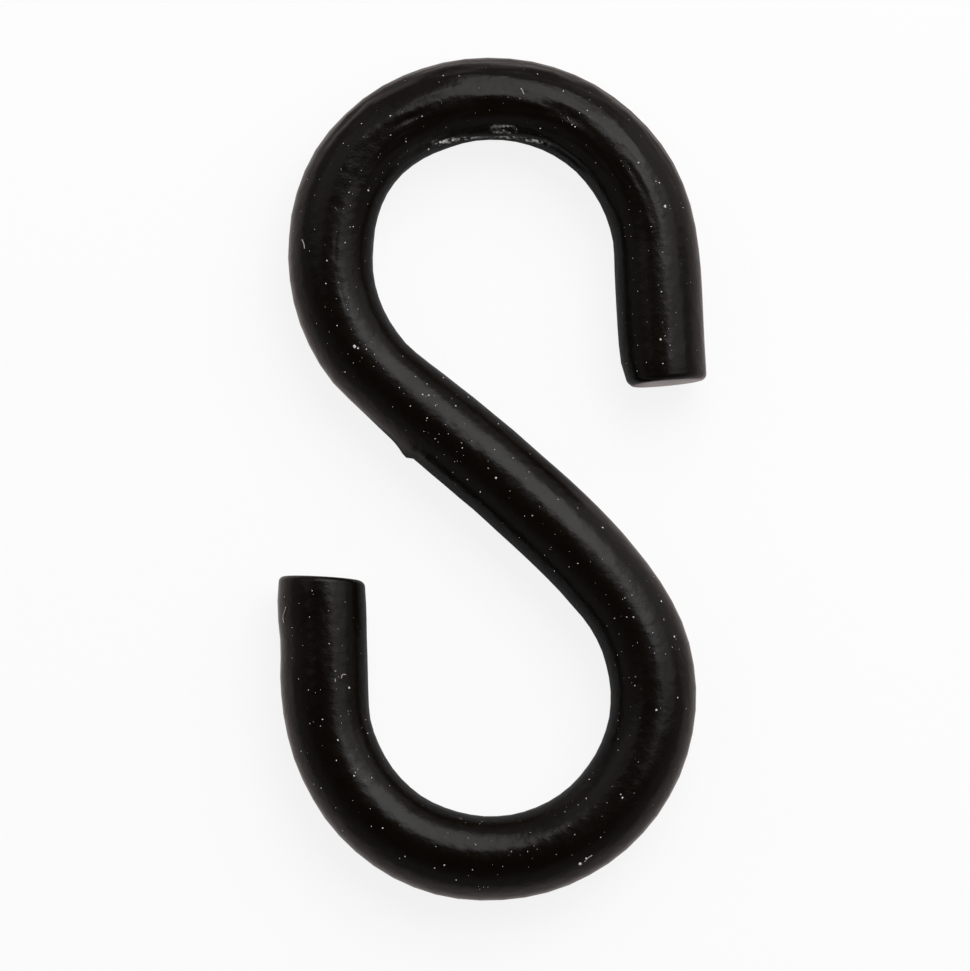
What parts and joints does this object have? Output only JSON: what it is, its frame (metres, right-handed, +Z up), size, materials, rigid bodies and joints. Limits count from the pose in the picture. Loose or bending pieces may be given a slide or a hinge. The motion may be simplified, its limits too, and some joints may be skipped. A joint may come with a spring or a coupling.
{
  "type": "s hook",
  "caption": "S-shaped hook bent from round steel wire with a black coat: two open crooks in one plane, a leaning straight shank and square-sheared tips.",
  "frame": {"origin": "on the surface that the hook lies on, under the middle of its outline", "axes": "+Z up from that surface, along the axes of both crooks; +Y along the hook's length, towards the crook with the heel and the necked shank; +X towards that crook's tip"},
  "size_m": [0.0254, 0.05, 0.0052],
  "materials": {
    "black_coat": "satin"
  },
  "bodies": {
    "root": {"hook": "black_coat"}
  },
  "joints": []
}
